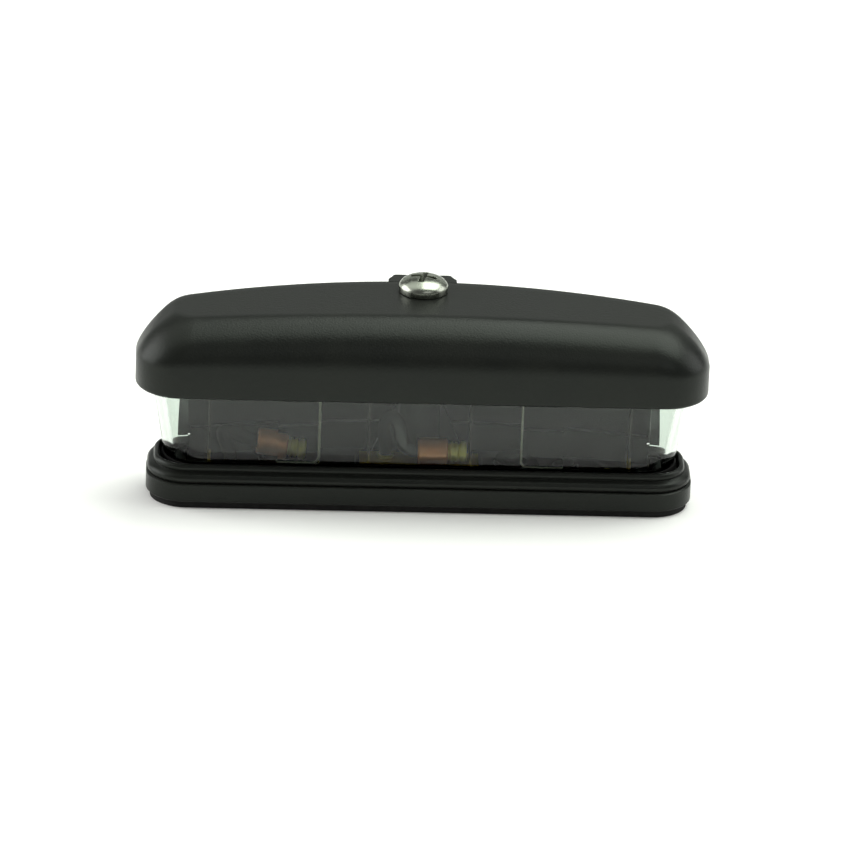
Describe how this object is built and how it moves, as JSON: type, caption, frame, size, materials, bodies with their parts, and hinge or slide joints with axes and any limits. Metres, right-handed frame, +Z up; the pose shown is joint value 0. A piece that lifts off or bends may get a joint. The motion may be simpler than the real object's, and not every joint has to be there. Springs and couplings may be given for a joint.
{
  "type": "number plate lamp",
  "caption": "Long number plate lamp: arched black hood with a rear screw tower, clear wrap-round lens and stepped black base.",
  "frame": {"origin": "centre of the part's box on the mounting face, the gasket's underside at z = 0", "axes": "+X along the lamp's length, -Y towards the lit front face, +Y towards the arched back with the screw tower, +Z up from the mounting face to the hood's top"},
  "size_m": [0.11, 0.0286, 0.0418],
  "materials": {
    "black_plastic": "fine grained black, satin",
    "clear_plastic": "clear, polished",
    "rubber": "matt black",
    "zinc_steel": "bright zinc plate",
    "brass": "bright",
    "brass_strip": "dull rolled strip",
    "copper": "drawn copper, slightly tarnished",
    "bulb_glass": "clear glass",
    "nickel_plate": "satin nickel",
    "tungsten": "dark wire",
    "lead_sleeve": "glossy black sleeve"
  },
  "bodies": {
    "root": {"base": "black_plastic", "hood": "black_plastic", "mounting_gasket": "rubber", "lens": "clear_plastic", "lens_seal": "rubber", "hood_screw": "zinc_steel", "screw_insert": "brass", "bulb_glass_left": "bulb_glass", "bulb_glass_right": "bulb_glass", "bulb_caps_left": "nickel_plate", "bulb_caps_right": "nickel_plate", "filament_left": "tungsten", "filament_right": "tungsten", "feed_contact": "brass_strip", "earth_contact_left": "brass_strip", "earth_contact_right": "brass_strip", "earth_strip": "brass_strip", "contact_rivets": "brass", "feed_terminal": "copper", "feed_bullet": "brass", "earth_terminal": "copper", "earth_bullet": "brass", "feed_lead": "lead_sleeve", "earth_lead": "lead_sleeve", "cable_grommet": "rubber"}
  },
  "joints": []
}
